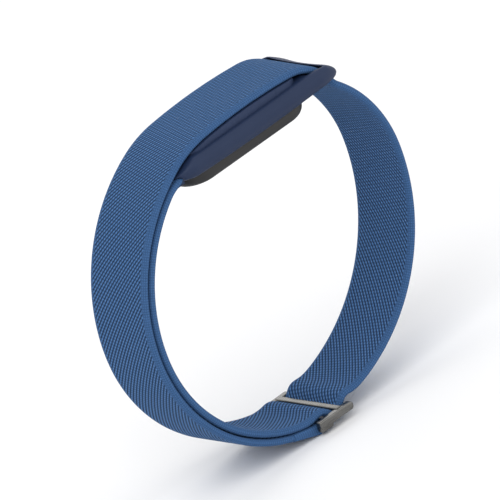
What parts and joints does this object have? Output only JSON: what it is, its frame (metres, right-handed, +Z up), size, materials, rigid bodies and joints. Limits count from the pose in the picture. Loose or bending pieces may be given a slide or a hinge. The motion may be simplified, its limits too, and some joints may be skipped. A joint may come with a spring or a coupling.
{
  "type": "fitness tracker band",
  "caption": "Screenless fitness tracker: a sensor pod in a carrier under an elastic woven band, which a metal slider adjusts round the wrist.",
  "frame": {"origin": "middle of the wrist loop: centre of its round lower arc, halfway across the band", "axes": "+Z up through the sensor pod, +Y along the wrist, +X along the pod towards its slotted end"},
  "size_m": [0.0702, 0.0212, 0.0677],
  "materials": {
    "band_knit": "elastic woven band, fine diagonal rib, plain selvedges",
    "band_thread": "polyester stitching thread",
    "carrier_navy": "moulded nylon, satin navy",
    "slider_metal": "brushed gunmetal steel",
    "pod_charcoal": "fine matte moulded plastic, charcoal",
    "seal_rubber": "black silicone",
    "window_dark": "dark polished optical window",
    "contact_plate": "gold plated contact",
    "screw_steel": "bright steel screw",
    "board_green": "solder mask over glass fibre laminate",
    "chip_black": "moulded chip package",
    "baffle_black": "black optical baffle",
    "light_lens": "clear green lamp package",
    "diode_lens": "tinted photodiode package",
    "battery_foil": "laminated pouch foil",
    "foam_grey": "cell foam pad",
    "antenna_copper": "copper strip on film",
    "motor_steel": "drawn steel can",
    "rotor_tungsten": "sintered heavy alloy"
  },
  "bodies": {
    "band": {"band_left_inner": "band_knit", "band_left_outer": "band_knit", "band_over_pod": "band_knit", "band_right": "band_knit", "band_lower": "band_knit", "carrier_frame": "carrier_navy", "carrier_deck": "carrier_navy", "band_keeper": "carrier_navy", "keeper_screws": "screw_steel"},
    "slider": {"slider_frame": "slider_metal", "band_end_loop": "band_knit", "bar_tack": "band_thread"},
    "pod": {"pod_lower_shell": "pod_charcoal", "pod_upper_shell": "pod_charcoal", "pod_gasket": "seal_rubber", "sensor_window": "window_dark", "charge_contacts": "contact_plate", "thermal_cap": "contact_plate", "main_board": "board_green", "board_screws": "screw_steel", "optical_baffle": "baffle_black", "sensor_leds": "light_lens", "photodiodes": "diode_lens", "processor_chip": "chip_black", "memory_chip": "chip_black", "motion_sensor": "chip_black", "power_chip": "chip_black", "battery_cell": "battery_foil", "battery_foam": "foam_grey", "battery_safety_board": "board_green", "antenna_strip": "antenna_copper", "motor_case": "motor_steel", "motor_shaft": "screw_steel"},
    "rotor": {"haptic_rotor": "rotor_tungsten"}
  },
  "joints": [
    {"name": "slider_travel", "type": "hinge", "parent": "band", "child": "slider", "pos_m": [0, 0, 0], "axis": [0, 1, 0], "range_deg": [-35, 20], "deforming": ["band_lower", "band_left_outer"]},
    {"name": "pod_release", "type": "slide", "parent": "band", "child": "pod", "axis": [0, 0, -1], "range_m": [0, 0.01]},
    {"name": "rotor_spin", "type": "hinge", "parent": "pod", "child": "rotor", "pos_m": [0.017, 0, 0.025], "axis": [0, 0, 1], "continuous": true}
  ]
}
